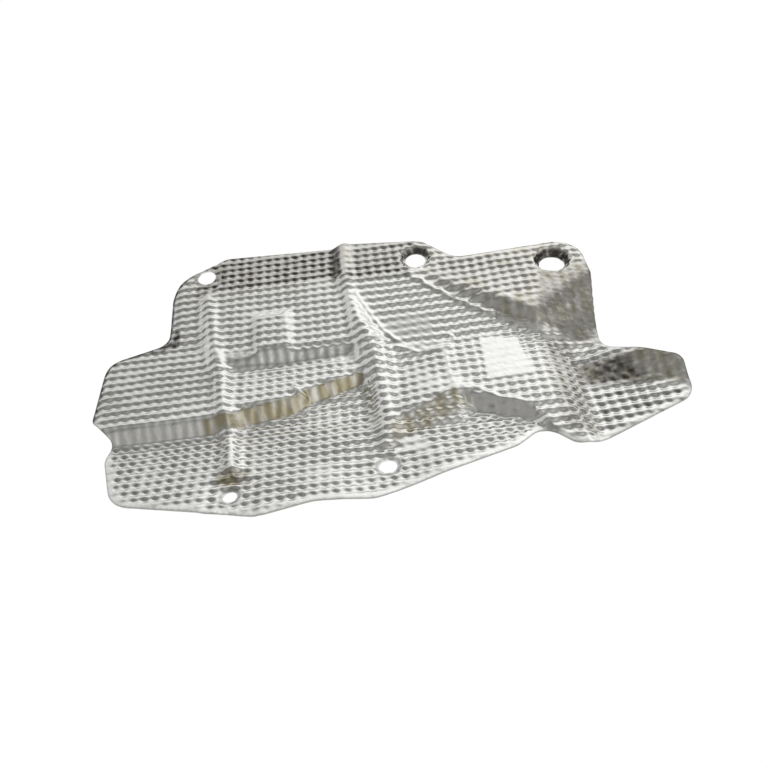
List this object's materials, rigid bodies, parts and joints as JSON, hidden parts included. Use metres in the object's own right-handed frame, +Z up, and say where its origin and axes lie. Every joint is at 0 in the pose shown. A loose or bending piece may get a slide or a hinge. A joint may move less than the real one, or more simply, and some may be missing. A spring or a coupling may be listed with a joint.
{
  "type": "exhaust heat shield",
  "caption": "Pressed and embossed aluminium sheet that covers an exhaust manifold, with stepped panels, a curved ridge, a bead, a folded flap and bolt holes along its rim.",
  "frame": {"origin": "centre of the footprint box, on the ground the sheet lies on", "axes": "+X along the long side to the flap, +Y towards the bolted rear edge, +Z up from the hot side to the outer face"},
  "size_m": [0.3126, 0.1862, 0.02],
  "materials": {
    "embossed_aluminium": "dull embossed mill finish with light heat tint"
  },
  "bodies": {
    "root": {"heat_shield": "embossed_aluminium"}
  },
  "joints": []
}
